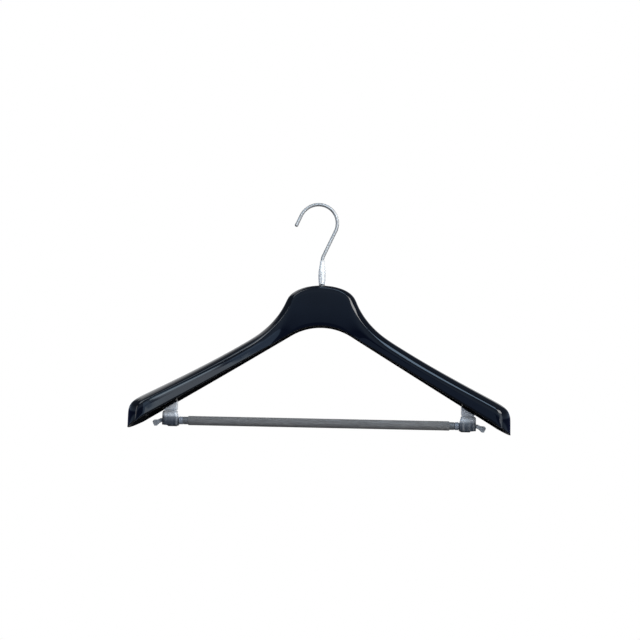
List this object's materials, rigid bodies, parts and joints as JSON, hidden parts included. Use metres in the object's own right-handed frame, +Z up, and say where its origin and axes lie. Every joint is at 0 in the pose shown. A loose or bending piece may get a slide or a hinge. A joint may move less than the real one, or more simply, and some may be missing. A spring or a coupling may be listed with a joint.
{
  "type": "suit hanger",
  "caption": "Contoured gloss plastic suit hanger with a swivelling wire hook and a rolling trouser bar held in see-through brackets.",
  "frame": {"origin": "where a wardrobe rail touches the inside of the hook's crown", "axes": "+Z up along the swivel axis, +X along the trouser bar to the right as seen from the front, front towards -Y"},
  "size_m": [0.43, 0.0562, 0.2668],
  "materials": {
    "shell": "high gloss, near-black navy moulding",
    "wire": "satin nickel-plated wire",
    "ferrule": "polished",
    "zinc": "zinc-plated steel",
    "bracket": "smoke-grey see-through moulding",
    "bush": "pale grey moulding",
    "bar_tube": "dark grey extruded tube",
    "bar_sleeve": "soft ribbed grey sleeve"
  },
  "bodies": {
    "hook": {"hook_wire": "wire", "hook_ferrule": "ferrule", "hook_washer": "zinc", "hook_nut": "zinc"},
    "hanger": {"hanger_shell": "shell", "bracket_left": "bracket", "bracket_right": "bracket", "bracket_bush_left": "bush", "bracket_bush_right": "bush"},
    "trouser_bar": {"bar_tube": "bar_tube", "bar_sleeve": "bar_sleeve", "skirt_hook_left": "bracket", "skirt_hook_right": "bracket"}
  },
  "joints": [
    {"name": "hook_swivel", "type": "hinge", "parent": "hook", "child": "hanger", "pos_m": [0.0056, 0, -0.09307], "axis": [0, 0, 1], "continuous": true},
    {"name": "bar_roll", "type": "hinge", "parent": "hanger", "child": "trouser_bar", "pos_m": [0.0056, -0.01502, -0.2532], "axis": [1, 0, 0], "continuous": true}
  ]
}
